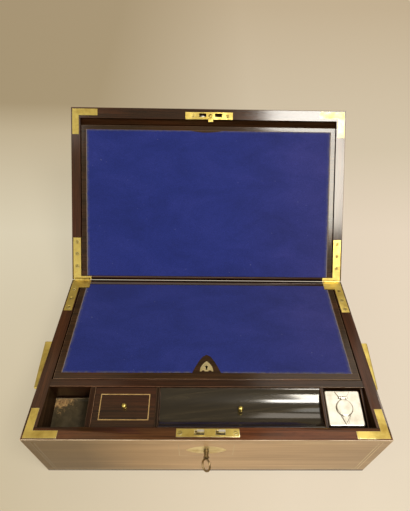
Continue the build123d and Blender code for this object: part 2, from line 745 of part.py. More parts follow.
catch_room = block(left - fit_gap, right + fit_gap, far_rest_start, striker_middle + button_radius + fit_gap,
                   lever_bottom - catch_press - 1, -plate)

far_board = cut(far_board, *lid_corners, striker_seat, *striker_seats, *hook_rooms, lid_rim * catch_room,
                lid_rim * post_room)
lid_side = cut(lid_side, lid_corners[0], lid_leaf_seat, *lid_seats)
hinge_board = cut(hinge_board, *pair(lid_leaf_seat), *barrel_room, *lid_seats)

# ---- one file per piece, or per group of like pieces ----
pieces = {
    "base_bottom": [bottom],
    "base_front_board": [front_board],
    "base_back_board": [back_board],
    "base_side_right": [base_side],
    "base_side_left": [mirrored(base_side)],
    "compartment_floor": [floor],
    "floor_cleats": pair(cleat),
    "tray_partition": [rail],
    "compartment_front_lining": [front_lining],
    "divider_left_well": [divider(well_x[1], cover_x[0], divider_top)],
    "divider_pen_tray": [divider(cover_x[1], tray_x[0], divider_top)],
    "divider_ink_well": [divider(tray_x[1], ink_x[0], divider_top)],
    "ink_well_lining": [divider(inner - well_lining_thick, inner, divider_top - lining)],
    "cover_ledges": ledges,
    "tray_bearers": bearers,
    "base_flap_rests": pair(side_rest) + pair(front_rest),
    "base_flap_rail": [back_rail],
    "base_rail_velvet": [rail_velvet],
    "lock_case": [lock_case],
    "lock_face_plate": [face_plate],
    "lock_bolt": [hook_bar],
    "key": [key],
    "key_escutcheon": [escutcheon],
    "front_stringing": strings,
    "base_corner_plates": base_corners,
    "base_hinge_leaves": pair(base_leaf),
    "hinge_pins": pair(hinge_pin),
    "base_screws": [spot * screw(25) for spot in base_spots + face_spots + handle_spots]
    + [mirrored(spot * screw(25)) for spot in handle_spots],
    "handle_plates": pair(handle_back),
    "handle_bail_right": [bail],
    "handle_bail_left": [mirrored(bail)],
    "base_flap_board": [flap_wood],
    "base_flap_velvet": [rim * flap_velvet],
    "flap_escutcheon": [rim * flap_plate],
    "flap_lock_case": [flap_lock],
    "flap_lock_bolt": [latch],
    "cover_panel": [cover_panel],
    "cover_stringing": [cover_line],
    "cover_knob": [cover_knob],
    "pen_tray": [tray],
    "tray_knob": [tray_knob],
    "inkwell_glass": [ink_at * glass],
    "inkwell_top": [ink_at * mount, ink_at * cap_pin],
    "inkwell_cap": [ink_at * cap],
    "inkwell_catch": [ink_at * catch],
    "lid_top_board": [top_board],
    "lid_far_board": [far_board],
    "lid_hinge_board": [hinge_board],
    "lid_side_right": [lid_side],
    "lid_side_left": [mirrored(lid_side)],
    "lid_corner_plates": lid_corners,
    "lid_hinge_leaves": pair(lid_leaf),
    "lid_screws": [spot * screw(70) for spot in lid_spots + striker_spots],
    "striker_plate": [striker],
    "lid_flap_catch": [lid_rim * flap_catch],
    "lid_flap_rests": [far_rest] + pair(side_rest_lid),
    "lid_flap_rail": [lid_rail],
    "lid_rail_velvet": [lid_rail_velvet],
    "lid_flap_board": [lid_rim * lid_flap_wood],
    "lid_flap_velvet": [lid_rim * lid_flap_velvet],
}
for name, shapes in pieces.items():
    save(name, *shapes)
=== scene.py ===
import math

import bmesh
import bpy
from mathutils import Matrix, Vector


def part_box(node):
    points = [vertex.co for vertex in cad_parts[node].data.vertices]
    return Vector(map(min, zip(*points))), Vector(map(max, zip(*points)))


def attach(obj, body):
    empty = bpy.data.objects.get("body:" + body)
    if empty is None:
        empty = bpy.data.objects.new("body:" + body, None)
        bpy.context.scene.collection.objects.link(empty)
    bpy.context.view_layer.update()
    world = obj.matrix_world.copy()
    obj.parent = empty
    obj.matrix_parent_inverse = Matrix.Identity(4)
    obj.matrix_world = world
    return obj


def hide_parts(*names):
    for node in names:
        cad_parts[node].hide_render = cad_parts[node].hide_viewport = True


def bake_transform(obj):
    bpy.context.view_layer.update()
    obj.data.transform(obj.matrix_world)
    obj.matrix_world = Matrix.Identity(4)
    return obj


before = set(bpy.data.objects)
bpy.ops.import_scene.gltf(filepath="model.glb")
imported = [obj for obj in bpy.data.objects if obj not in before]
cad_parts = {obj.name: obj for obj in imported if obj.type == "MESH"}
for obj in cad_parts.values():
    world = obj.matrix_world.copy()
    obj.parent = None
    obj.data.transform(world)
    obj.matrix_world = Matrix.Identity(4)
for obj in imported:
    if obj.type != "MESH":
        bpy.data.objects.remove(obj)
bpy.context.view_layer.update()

# ---- Base case -------------------------------------------------------------------------------
# Four rosewood boards on a bottom board, glued and French polished till they shine. Years of
# handling have rounded the arrises a little; their lighter, redder brown is partly that wear and partly
# a painted highlight along them.
front_low, front_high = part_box("base_front_board")
back_low, back_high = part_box("base_back_board")
rim_run = back_low.y - front_low.y
slope = math.atan2(front_high.z - back_high.z, rim_run)
rim_place = Matrix.Translation((0, front_low.y, front_high.z)) @ Matrix.Rotation(-slope, 4, "X")
hair = 0.00005
eased = 0.0007
quarter = math.pi / 2


def add(tree, kind, **settings):
    """One node with its settings."""
    made = tree.nodes.new(kind)
    for name, value in settings.items():
        setattr(made, name, value)
    return made


def finish(name, roughness, coat=0.0, coat_roughness=0.1, metallic=0.0):
    """A material with a Principled shader, its node tree and that shader."""
    made = bpy.data.materials.new(name)
    made.use_nodes = True
    shader = made.node_tree.nodes["Principled BSDF"]
    shader.inputs["Roughness"].default_value = roughness
    shader.inputs["Coat Weight"].default_value = coat
    shader.inputs["Coat Roughness"].default_value = coat_roughness
    shader.inputs["Metallic"].default_value = metallic
    return made, made.node_tree, shader


def place(tree, turn=(0, 0, 0), scale=(1, 1, 1), shift=(0, 0, 0)):
    """Coordinates on the piece, turned so that X runs with the grain, shifted, then stretched."""
    where = add(tree, "ShaderNodeTexCoord")
    square = add(tree, "ShaderNodeMapping")
    square.inputs["Rotation"].default_value = turn
    square.inputs["Location"].default_value = shift
    stretch = add(tree, "ShaderNodeMapping")
    stretch.inputs["Scale"].default_value = scale
    tree.links.new(where.outputs["Object"], square.inputs["Vector"])
    tree.links.new(square.outputs["Vector"], stretch.inputs["Vector"])
    return stretch.outputs["Vector"]


def noise(tree, where, scale, detail=4.0, roughness=0.5, distortion=0.0):
    """Cloudy noise read at some coordinates."""
    made = add(tree, "ShaderNodeTexNoise")
    made.inputs["Scale"].default_value = scale
    made.inputs["Detail"].default_value = detail
    made.inputs["Roughness"].default_value = roughness
    made.inputs["Distortion"].default_value = distortion
    tree.links.new(where, made.inputs["Vector"])
    return made.outputs["Fac"]


def ramp(tree, value, *stops):
    """A colour ramp through (position, colour) stops."""
    made = add(tree, "ShaderNodeValToRGB")
    while len(made.color_ramp.elements) < len(stops):
        made.color_ramp.elements.new(0.5)
    for element, (position, colour) in zip(made.color_ramp.elements, stops):
        element.position = position
        element.color = (*colour, 1)
    tree.links.new(value, made.inputs["Fac"])
    return made.outputs["Color"]


def blend_colours(tree, kind, share, first, second):
    """Two colours mixed; share, first and second are sockets or plain values."""
    made = add(tree, "ShaderNodeMix", data_type="RGBA", blend_type=kind)
    for socket, value in ((made.inputs[0], share), (made.inputs[6], first), (made.inputs[7], second)):
        if isinstance(value, bpy.types.NodeSocket):
            tree.links.new(value, socket)
        else:
            socket.default_value = value if socket == made.inputs[0] else (*value, 1)
    return made.outputs[2]


def between(tree, value, low, high, new_low=0.0, new_high=1.0):
    """A number carried from one range to another."""
    made = add(tree, "ShaderNodeMapRange")
    made.inputs["From Min"].default_value = low
    made.inputs["From Max"].default_value = high
    made.inputs["To Min"].default_value = new_low
    made.inputs["To Max"].default_value = new_high
    tree.links.new(value, made.inputs["Value"])
    return made.outputs["Result"]


def bump(tree, shader, height, distance, strength=1.0):
    """A height that tilts the surface's shading."""
    made = add(tree, "ShaderNodeBump")
    made.inputs["Distance"].default_value = distance
    made.inputs["Strength"].default_value = strength
    tree.links.new(height, made.inputs["Height"])
    tree.links.new(made.outputs["Normal"], shader.inputs["Normal"])


def shade_and_soil(tree, colour, reach, soiled_shade):
    """A colour darkened where another surface stands close by: painted shade, with grime in the same places.
    """
    near = add(tree, "ShaderNodeAmbientOcclusion", samples=6)
    near.inputs["Distance"].default_value = reach
    soil_and_shade = ramp(tree, near.outputs["AO"], (0.25, soiled_shade), (0.62, (1, 1, 1)))
    return blend_colours(tree, "MULTIPLY", 1.0, colour, soil_and_shade)


def rosewood(name, turn, dark, warm, polish=0.9, fade=1.0):
    """Polished rosewood with its grain along X once turned, redder in some places than in others."""
    made, tree, shader = finish(name, 0.45, polish, 0.14)
    shader.inputs["Coat IOR"].default_value = 1.6
    shader.inputs["Specular IOR Level"].default_value = 0.08 if polish > 0.1 else 0
    dark = [fade * part for part in dark]
    warm = [fade * part for part in warm]
    figure = noise(tree, place(tree, turn, (2.2, 26, 26)), 1.0, 6.0, 0.6, 0.7)
    streaks = noise(tree, place(tree, turn, (9, 420, 420)), 1.0, 3.0, 0.6)
    pores = noise(tree, place(tree, turn, (90, 2600, 2600)), 1.0, 2.0, 0.5)
    middle = [(a + b) / 2 for a, b in zip(dark, warm)]
    ground = ramp(tree, figure, (0.3, dark), (0.5, middle), (0.72, warm))
    lines = ramp(tree, streaks, (0.35, (0.35, 0.33, 0.32)), (0.6, (1, 1, 1)))
    specks = ramp(tree, pores, (0.36, (0.45, 0.42, 0.4)), (0.46, (1, 1, 1)))
    lined = blend_colours(tree, "MULTIPLY", 0.75, ground, lines)
    patches = noise(tree, place(tree, turn, (5, 16, 16)), 1.0, 3.0, 0.6, 0.4)
    tint = ramp(tree, patches, (0.36, (0.80, 0.93, 0.95)), (0.5, (1, 1, 1)), (0.66, (1.25, 1.0, 0.90)))
    tinted = blend_colours(tree, "MULTIPLY", 1.0, lined, tint)
    colour = blend_colours(tree, "MULTIPLY", 0.6, tinted, specks)
    # Painted shade and grime: the wood darkened where another surface stands within 4 mm.
    soiled_and_shaded = shade_and_soil(tree, colour, 0.004, (0.35, 0.32, 0.3))
    tree.links.new(soiled_and_shaded, shader.inputs["Base Color"])
    bump(tree, shader, pores, 0.00004, 0.35)
    return made


def coat_node(name, *materials):
    """Give a CAD piece its finishes."""
    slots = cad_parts[name].data.materials
    slots.clear()
    for material in materials:
        slots.append(material)


def only(piece):
    """Select one piece alone and make it the active one."""
    bpy.ops.object.select_all(action="DESELECT")
    piece.select_set(True)
    bpy.context.view_layer.objects.active = piece


def smooth(piece, angle=0.6):
    """Smooth shading that keeps flat faces flat."""
    only(piece)
    bpy.ops.object.shade_smooth_by_angle(angle=angle)
    piece.modifiers.new("even", "WEIGHTED_NORMAL").keep_sharp = True
    bpy.ops.object.modifier_apply(modifier="even")


def ease(node, body, wanted, materials, width=eased, shortest=0.004, crease=0.9):
    """A copy of a CAD piece with its wanted arrises rounded over and given its second finish; on wood that
    finish is lighter, partly for wear and partly as a painted highlight.
    """
    piece = bpy.data.objects.new(node + "_eased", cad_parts[node].data.copy())
    bpy.context.scene.collection.objects.link(piece)
    piece.data.materials.clear()
    for material in materials:
        piece.data.materials.append(material)
    only(piece)
    bpy.ops.object.mode_set(mode="EDIT")
    bpy.context.tool_settings.mesh_select_mode = (False, True, False)
    bpy.ops.mesh.select_all(action="SELECT")
    bpy.ops.mesh.remove_doubles(threshold=0.000005)
    bpy.ops.mesh.dissolve_limited(angle_limit=0.01)
    bpy.ops.mesh.select_all(action="DESELECT")
    net = bmesh.from_edit_mesh(piece.data)
    for edge in net.edges:
        sharp = edge.is_manifold and edge.is_convex and edge.calc_face_angle(0) > 0.7
        picked = sharp and edge.calc_length() > shortest and wanted(edge.verts[0].co, edge.verts[1].co)
        edge.select_set(picked)
    bmesh.update_edit_mesh(piece.data)
    bpy.ops.mesh.bevel(offset=width, segments=2, clamp_overlap=False, material=1)
    bpy.ops.object.mode_set(mode="OBJECT")
    smooth(piece, crease)
    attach(piece, body)
    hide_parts(node)
    return piece


rim_back = rim_place.inverted()


def base_arris(first, second):
    """Whether an edge lies on the outside of the sloping rim, under the bottom or down a corner."""
    for end in (first, second):
        at_side = abs(end.x) > front_high.x - hair
        at_front = end.y < front_low.y + hair
        on_rim = abs((rim_back @ end).z) < hair and (at_side or at_front)
        under = end.z < hair
        corner = at_side and (at_front or end.y > back_high.y - hair)
        if not (on_rim or under or corner):
            return False
    return True


dark_rose = (0.026, 0.0095, 0.0034)
warm_rose = (0.090, 0.030, 0.0095)
# Lighter colours for rounded arrises: partly wear, partly a painted highlight along them.
highlit_rubbed_dark = (0.085, 0.045, 0.024)
highlit_rubbed_warm = (0.20, 0.115, 0.062)
rose_along = rosewood("rosewood_along", (0, 0, 0), dark_rose, warm_rose)
rose_slope = rosewood("rosewood_side", (slope, 0, quarter), dark_rose, warm_rose, 0.35, 1.15)
plain_inside = rosewood("plain_inside", (0, 0, quarter), (0.034, 0.018, 0.008), (0.085, 0.044, 0.021), 0.1)
highlit_rubbed_along = rosewood("highlit_rubbed_along", (0, 0, 0), highlit_rubbed_dark, highlit_rubbed_warm)
highlit_rubbed_slope = rosewood("highlit_rubbed_side", (slope, 0, quarter), highlit_rubbed_dark, highlit_rubbed_warm)
rose_front = rosewood("rosewood_front", (0, 0, 0), dark_rose, warm_rose, 0.35, 2.3)
for board in ("base_bottom", "base_back_board"):
    ease(board, "base", base_arris, (rose_along, highlit_rubbed_along))
for board in ("base_side_right", "base_side_left"):
    side = ease(board, "base", base_arris, (rose_slope, highlit_rubbed_slope, plain_inside))
    for face in side.data.polygons:
        if face.normal.x * face.center.x < 0 and abs(face.normal.x) > 0.95:
            face.material_index = 2

faded, tree, shader = finish("sun_faded_rosewood", 0.45, 0.3, 0.25)
shader.inputs["Specular IOR Level"].default_value = 0.1
figure = noise(tree, place(tree, scale=(2.2, 26, 26)), 1.0, 6.0, 0.6, 0.7)
streaks = noise(tree, place(tree, scale=(7, 330, 330)), 1.0, 3.0, 0.6)
ground = ramp(tree, figure, (0.3, (0.35, 0.225, 0.116)), (0.7, (0.52, 0.350, 0.194)))
lines = ramp(tree, streaks, (0.3, (0.76, 0.73, 0.68)), (0.62, (1, 1, 1)))
lined = blend_colours(tree, "MULTIPLY", 0.8, ground, lines)
parts = add(tree, "ShaderNodeSeparateXYZ")
tree.links.new(place(tree), parts.inputs["Vector"])
along = between(tree, parts.outputs["X"], front_low.x, front_high.x)
shade = ramp(tree, along, (0.0, (0.34, 0.32, 0.24)), (0.15, (0.39, 0.36, 0.27)), (0.30, (0.78, 0.74, 0.64)),
             (0.46, (1.07, 1.07, 1.07)), (0.75, (0.97, 0.98, 1)), (1.0, (0.83, 0.86, 0.92)))
shaded = blend_colours(tree, "MULTIPLY", 1.0, lined, shade)
# Paler and greyer towards the bottom edge of the front.
low_band = between(tree, parts.outputs["Z"], 0.022, 0.001)
paler_low_band = blend_colours(tree, "MULTIPLY", low_band, shaded, (1.12, 1.18, 1.30))
tree.links.new(paler_low_band, shader.inputs["Base Color"])
bump(tree, shader, streaks, 0.00005, 0.4)
# The front board's rounded arrises are paler: partly wear, partly a painted highlight line.
highlit_worn_front, tree, shader = finish("highlit_worn_front", 0.5, 0.3, 0.25)
rubs = noise(tree, place(tree, scale=(0.3, 1, 1)), 90, 4)
highlit_pale = ramp(tree, rubs, (0.35, (0.40, 0.28, 0.17)), (0.65, (0.72, 0.58, 0.42)))
tree.links.new(highlit_pale, shader.inputs["Base Color"])
front = ease("base_front_board", "base", base_arris, (rose_front, highlit_worn_front, faded))
for face in front.data.polygons:
    if face.normal.y < -0.95 and face.center.y < front_low.y + hair:
        face.material_index = 2

# ---- Compartments ----------------------------------------------------------------------------
# Thin boards of plain mahogany, stained dark and rubbed with wax, between the front of the case
# and the partition that carries the writing flap. Their top arrises are paler, partly worn by use and
# partly a painted highlight.
stained_dark = (0.034, 0.0125, 0.005)
stained_warm = (0.062, 0.026, 0.010)
inner_along = rosewood("stained_along", (0, 0, 0), stained_dark, stained_warm, 0.4)
inner_across = rosewood("stained_across", (0, 0, quarter), stained_dark, stained_warm, 0.4, 0.65)
# Paler colours for the compartments' top arrises: partly wear, partly a painted highlight.
highlit_worn_dark = (0.16, 0.085, 0.045)
highlit_worn_warm = (0.34, 0.21, 0.125)
highlit_worn_along = rosewood("highlit_worn_along", (0, 0, 0), highlit_worn_dark, highlit_worn_warm, 0.6)
highlit_worn_across = rosewood("highlit_worn_across", (0, 0, quarter), highlit_worn_dark, highlit_worn_warm, 0.6)


def top_arris(first, second):
    """Whether an edge runs level along a board's top."""
    return abs(first.z - second.z) < hair and first.z > front_high.z - 0.028


for board in ("compartment_floor", "floor_cleats", "cover_ledges", "base_flap_rests", "base_flap_rail"):
    coat_node(board, inner_along)
coat_node("tray_bearers", inner_across)
for board in ("tray_partition", "compartment_front_lining"):
    ease(board, "base", top_arris, (inner_along, highlit_worn_along), 0.0005)
for board in ("divider_left_well", "divider_pen_tray", "divider_ink_well", "ink_well_lining"):
    ease(board, "base", top_arris, (inner_across, highlit_worn_across), 0.0004)

# ---- Well lining -----------------------------------------------------------------------------
# The left-hand well is lined with a piece of marbled paper, glued down long ago. It is rubbed and
# stained with spilt gold ink, and its back edge has come unstuck and curls up.
well_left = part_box("base_side_left")[1].x
well_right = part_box("divider_left_well")[0].x
well_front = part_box("compartment_front_lining")[1].y
well_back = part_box("tray_partition")[0].y
well_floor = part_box("compartment_floor")[1].z
lining_slack = 0.0006
lining_wide = well_right - well_left - 2 * lining_slack
lining_deep = well_back - well_front - 2 * lining_slack
lining_at = Vector(((well_left + well_right) / 2, (well_front + well_back) / 2, well_floor + 0.0001))
bpy.ops.object.select_all(action="DESELECT")
bpy.ops.mesh.primitive_grid_add(x_subdivisions=28, y_subdivisions=28, size=1, location=lining_at)
lining = bpy.context.object
lining.name = "well_lining"
bpy.ops.object.mode_set(mode="EDIT")
bpy.ops.mesh.select_all(action="SELECT")
bpy.ops.transform.resize(value=(lining_wide, lining_deep, 1))
bpy.ops.object.mode_set(mode="OBJECT")
bpy.ops.object.transform_apply(location=True, rotation=True, scale=True)
for v in lining.data.vertices:
    across = (v.co.x - lining_at.x) / lining_wide
    behind = (v.co.y - lining_at.y) / lining_deep
    curl = max(0, behind - 0.40) / 0.10
    v.co.z += 0.0030 * curl ** 2 * (0.75 + 0.5 * across) + 0.0002 * math.sin(19 * across) * (0.5 - behind)
    v.co.z += 0.0001
    v.co.y -= 0.0012 * curl ** 2
thick = lining.modifiers.new("thick", "SOLIDIFY")
thick.thickness = 0.00025
thick.offset = 1
only(lining)
bpy.ops.object.modifier_apply(modifier="thick")
stained_paper, tree, shader = finish("marbled_paper", 0.55)
mould = noise(tree, place(tree), 90, 6, 0.7, 0.8)
ground = ramp(tree, mould, (0.3, (0.044, 0.032, 0.013)), (0.5, (0.076, 0.055, 0.024)),
              (0.7, (0.112, 0.083, 0.040)))
blot = add(tree, "ShaderNodeVectorMath", operation="DISTANCE")
tree.links.new(place(tree, scale=(0.62, 1, 1)), blot.inputs[0])
blot.inputs[1].default_value = (0.62 * (well_left + 0.009), well_back - 0.007, well_floor)
ragged = add(tree, "ShaderNodeMath", operation="MULTIPLY_ADD")
tree.links.new(noise(tree, place(tree), 130, 6, 0.8, 1.0), ragged.inputs[0])
ragged.inputs[1].default_value = -0.055
tree.links.new(blot.outputs["Value"], ragged.inputs[2])
spread = between(tree, ragged.outputs[0], -0.030, -0.012)
spilt = ramp(tree, spread, (0.2, (1, 1, 1)), (0.75, (0, 0, 0)))
flakes = noise(tree, place(tree), 260, 3, 0.6)
gold = ramp(tree, flakes, (0.35, (0.22, 0.11, 0.05)), (0.62, (0.66, 0.42, 0.17)))
gilded = blend_colours(tree, "MIX", spilt, ground, gold)
span = add(tree, "ShaderNodeSeparateXYZ")
tree.links.new(place(tree), span.inputs[0])
frayed_edge = between(tree, span.outputs["Y"], well_back - 0.0032, well_back - 0.0022)
worn_paper = blend_colours(tree, "MIX", frayed_edge, gilded, (0.26, 0.20, 0.12))
tree.links.new(worn_paper, shader.inputs["Base Color"])
bump(tree, shader, mould, 0.0006, 0.5)
lining.data.materials.append(stained_paper)
smooth(lining, 0.9)
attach(lining, "base")

# ---- Brass -----------------------------------------------------------------------------------
# Plates, hinges, screws and knobs of cast and sheet brass, polished long ago and since gone soft
# and mottled, with fine scratches from cleaning. The plates are let in flush and screwed.
def brass(name, tone, roughness):
    """Old polished brass: mottled, scratched and a little brown in places."""
    made, tree, shader = finish(name, roughness, metallic=1.0)
    mottle = noise(tree, place(tree), 55, 5.0, 0.6, 0.4)
    waves = noise(tree, place(tree), 26, 1.0)
    scratch = noise(tree, place(tree, (0, 0, 0.5), (60, 2400, 2400)), 1.0, 2.0)
    dents = noise(tree, place(tree), 110, 2.0)
    brown = [t * s for t, s in zip(tone, (0.72, 0.64, 0.5))]
    colour = ramp(tree, mottle, (0.3, brown), (0.55, tone), (0.8, [min(1, t * 1.08) for t in tone]))
    # Painted shade and grime: the brass darkened in slots, seams and hollows.
    soiled_and_shaded = shade_and_soil(tree, colour, 0.0014, (0.10, 0.07, 0.05))
    tree.links.new(soiled_and_shaded, shader.inputs["Base Color"])
    dullness = between(tree, mottle, 0.2, 0.8, roughness + 0.1, roughness - 0.08)
    tree.links.new(dullness, shader.inputs["Roughness"])
    marks = add(tree, "ShaderNodeMath", operation="MULTIPLY_ADD")
    tree.links.new(scratch, marks.inputs[0])
    marks.inputs[1].default_value = 0.06
    tree.links.new(dents, marks.inputs[2])
    hammered = add(tree, "ShaderNodeMath", operation="MULTIPLY_ADD")
    tree.links.new(waves, hammered.inputs[0])
    hammered.inputs[1].default_value = 7.0
    tree.links.new(marks.outputs[0], hammered.inputs[2])
    bump(tree, shader, hammered.outputs[0], 0.0008, 0.35)
    return made


old_brass = brass("old_brass", (0.83, 0.67, 0.20), 0.35)
rubbed_brass = brass("rubbed_brass", (0.97, 0.86, 0.50), 0.33)
pale_brass = brass("pale_brass", (0.86, 0.74, 0.42), 0.45)
screw_brass = brass("screw_brass", (0.50, 0.40, 0.12), 0.32)
key_brass = brass("key_brass", (0.27, 0.20, 0.105), 0.42)
for part in ("base_hinge_leaves", "hinge_pins", "handle_plates", "handle_bail_right", "handle_bail_left",
             "cover_knob", "tray_knob", "lid_hinge_leaves", "flap_lock_case", "flap_lock_bolt",
             "lid_flap_catch", "lock_case"):
    coat_node(part, old_brass)
coat_node("key_escutcheon", pale_brass)
coat_node("flap_escutcheon", rubbed_brass)
coat_node("key", key_brass)


def plate_arris(first, second):
    """Whether an edge is on the outline of a plate let into the base's rim."""
    proud = 0.0002 + hair
    return abs((rim_back @ first).z) < proud and abs((rim_back @ second).z) < proud


for plate in ("base_corner_plates", "lock_face_plate"):
    ease(plate, "base", plate_arris, (old_brass, rubbed_brass), 0.0005, 0.002)


def head_rim(first, second):
    """Whether an edge is a short one, as round the head of a screw."""
    return (first - second).length < 0.0016


ease("base_screws", "base", head_rim, (screw_brass, rubbed_brass), 0.0007, 0.0004)

# ---- Lock hooks ------------------------------------------------------------------------------
# Two steel hooks on a sliding bar, filed bright, which rise through the slots of the face plate.
bright_steel, tree, shader = finish("bright_steel", 0.38, metallic=1.0)
filed = ramp(tree, noise(tree, place(tree), 300), (0.3, (0.72, 0.70, 0.65)), (0.7, (0.93, 0.91, 0.86)))
tree.links.new(filed, shader.inputs["Base Color"])
coat_node("lock_bolt", bright_steel)

# ---- Stringing -------------------------------------------------------------------------------
# Thin boxwood lines let into the front board and the cover of the small compartment.
stringing, tree, shader = finish("boxwood_stringing", 0.4, 0.8)
boxwood = ramp(tree, noise(tree, place(tree), 120), (0.3, (0.36, 0.22, 0.075)), (0.7, (0.55, 0.37, 0.15)))
tree.links.new(boxwood, shader.inputs["Base Color"])
faint_stringing, tree, shader = finish("faded_stringing", 0.5, 0.3, 0.25)
patchy = ramp(tree, noise(tree, place(tree), 35, 4), (0.35, (0.34, 0.23, 0.11)), (0.65, (0.54, 0.41, 0.22)))
parts = add(tree, "ShaderNodeSeparateXYZ")
tree.links.new(place(tree), parts.inputs[0])
along = between(tree, parts.outputs["X"], front_low.x, front_high.x)
shade = ramp(tree, along, (0.1, (0.33, 0.30, 0.24)), (0.4, (0.85, 0.83, 0.80)), (0.6, (1, 1, 1)),
             (0.95, (1.15, 1.2, 1.2)))
tree.links.new(blend_colours(tree, "MULTIPLY", 1.0, patchy, shade), shader.inputs["Base Color"])
coat_node("front_stringing", faint_stringing)
coat_node("cover_stringing", stringing)

# ---- Compartment cover -----------------------------------------------------------------------
# A thin rosewood panel that lifts off its ledges by a turned brass knob.
coat_node("cover_panel", rose_along)

# ---- Pen tray --------------------------------------------------------------------------------
# A lift-out tray, scooped from one piece and black lacquered, rubbed through to the wood along
# the rims of its ends, where the paler colour is partly that wear and partly a painted highlight.
lacquer, tree, shader = finish("black_lacquer", 0.35, 1.0, 0.11)
shader.inputs["Specular IOR Level"].default_value = 0.1
shader.inputs["Coat IOR"].default_value = 1.75
streaky = noise(tree, place(tree, (0, 0, -0.12), (7, 150, 150)), 1.0, 5.0, 0.65, 0.6)
blacking = ramp(tree, streaky, (0.3, (0.010, 0.0065, 0.003)), (0.5, (0.019, 0.013, 0.006)),
                (0.72, (0.042, 0.031, 0.016)))
tree.links.new(blacking, shader.inputs["Base Color"])
bump(tree, shader, streaky, 0.00025, 0.3)
# Paler rims at the tray's ends: partly rubbed-through lacquer, partly a painted highlight.
highlit_rubbed_lacquer, tree, shader = finish("highlit_rubbed_lacquer", 0.45, 0.4)
rubs = noise(tree, place(tree), 160, 4, 0.65)
bared_and_highlit = ramp(tree, rubs, (0.38, (0.05, 0.025, 0.016)), (0.6, (0.26, 0.14, 0.10)))
tree.links.new(bared_and_highlit, shader.inputs["Base Color"])


def tray_rim(first, second):
    """Whether an edge is on one of the tray's ends or along its top."""
    ends = min(abs(end_x - x) for end_x in tray_ends for x in (first.x, second.x)) < 0.006
    return ends or min(first.z, second.z) > tray_top - hair


tray_low, tray_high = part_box("pen_tray")
tray_ends = (tray_low.x, tray_high.x)
tray_top = tray_high.z
ease("pen_tray", "pen_tray", tray_rim, (lacquer, highlit_rubbed_lacquer), 0.0005, 0.0002)

# ---- Inkwell ---------------------------------------------------------------------------------
# A square block of clear glass with a mount of silvered brass, a hinged cap and its catch.
clear_glass, tree, shader = finish("clear_glass", 0.03)
shader.inputs["Transmission Weight"].default_value = 1.0
shader.inputs["Base Color"].default_value = (0.9, 0.97, 0.95, 1)
coat_node("inkwell_glass", clear_glass)
silver, tree, shader = finish("silver_plate", 0.30, metallic=1.0)
tarnish = ramp(tree, noise(tree, place(tree), 90, 5), (0.3, (0.72, 0.68, 0.58)), (0.6, (0.93, 0.90, 0.82)))
# The tarnish is darkened in the mount's hollows, as painted shade and grime.
tree.links.new(shade_and_soil(tree, tarnish, 0.0026, (0.03, 0.025, 0.02)), shader.inputs["Base Color"])
worn_silver, tree, shader = finish("worn_silver", 0.3, metallic=1.0)
rubs = noise(tree, place(tree), 160, 4)
base_metal = ramp(tree, rubs, (0.35, (0.30, 0.26, 0.18)), (0.65, (0.62, 0.57, 0.46)))
tree.links.new(base_metal, shader.inputs["Base Color"])


def mount_edge(first, second):
    """Whether an edge is on the upper half of the mount or its cap."""
    return min(first.z, second.z) > mount_low.z + 0.6 * (mount_high.z - mount_low.z)


mount_low, mount_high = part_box("inkwell_top")
mount = (("inkwell_top", "inkwell"), ("inkwell_cap", "inkwell_cap"), ("inkwell_catch", "inkwell_catch"))
for part, body in mount:
    ease(part, body, mount_edge, (silver, worn_silver), 0.0003, 0.0002)

# ---- Lid -------------------------------------------------------------------------------------
# A shallow case of the same rosewood, hung from the back of the base, with brass plates let into
# the corners of its rim and a striker plate for the lock.
opened = math.radians(125.7)
lean = math.pi - opened - slope
lid_foot = (0, 0.138568, 0.081470)
lid_place = Matrix.Translation(lid_foot) @ Matrix.Rotation(lean, 4, "X")
lid_back = lid_place.inverted()
lid_long = 0.282024
rose_lid = rosewood("rosewood_lid_side", (-lean, 0, quarter), dark_rose, warm_rose, 0.84)
# The lid sides' rounded arrises are lighter: partly wear, partly a painted highlight.
highlit_rubbed_lid = rosewood("lid_side_rubbed_highlit", (-lean, 0, quarter), highlit_rubbed_dark, highlit_rubbed_warm)


def lid_arris(first, second):
    """Whether an edge lies on the outside of the lid's rim."""
    for end in (first, second):
        spot = lid_back @ end
        outside = abs(spot.x) > front_high.x - hair or spot.y > lid_long - hair
        if abs(spot.z) > hair or not outside:
            return False
    return True


def any_arris(first, second):
    """Every sharp edge."""
    return True


# Unpolished wood for the lid's inner faces and the flap rests, darkened as painted shade in the recess round
# the flap.
shaded_bare_dark = rosewood("shaded_bare_ledge", (0, 0, 0), (0.022, 0.009, 0.004), (0.062, 0.025, 0.010), 0.0)
shaded_bare_side = rosewood("shaded_bare_side", (-lean, 0, quarter), (0.026, 0.009, 0.004), (0.08, 0.024, 0.009), 0.0)
flat_rim = 0.6
ease("lid_top_board", "lid", any_arris, (rose_along, highlit_rubbed_along))
walls = [ease(board, "lid", lid_arris, (rose_along, highlit_rubbed_along, shaded_bare_dark), crease=flat_rim)
         for board in ("lid_far_board", "lid_hinge_board")]
walls += [ease(board, "lid", lid_arris, (rose_lid, highlit_rubbed_lid, shaded_bare_side), crease=flat_rim)
          for board in ("lid_side_right", "lid_side_left")]
lid_middle = lid_place @ Vector((0, lid_long / 2, 0))
for wall in walls:
    for face in wall.data.polygons:
        aside = lid_back.to_3x3() @ face.normal
        inward = (lid_middle - face.center).dot(face.normal) > 0
        if face.material_index == 0 and abs(aside.z) < 0.3 and inward:
            face.material_index = 2
for plate in ("lid_corner_plates", "striker_plate"):
    ease(plate, "lid", lid_arris, (old_brass, rubbed_brass), 0.0004, 0.002)
ease("lid_screws", "lid", head_rim, (screw_brass, rubbed_brass), 0.0007, 0.0004)
coat_node("lid_flap_rests", shaded_bare_dark)
coat_node("lid_flap_rail", rose_along)

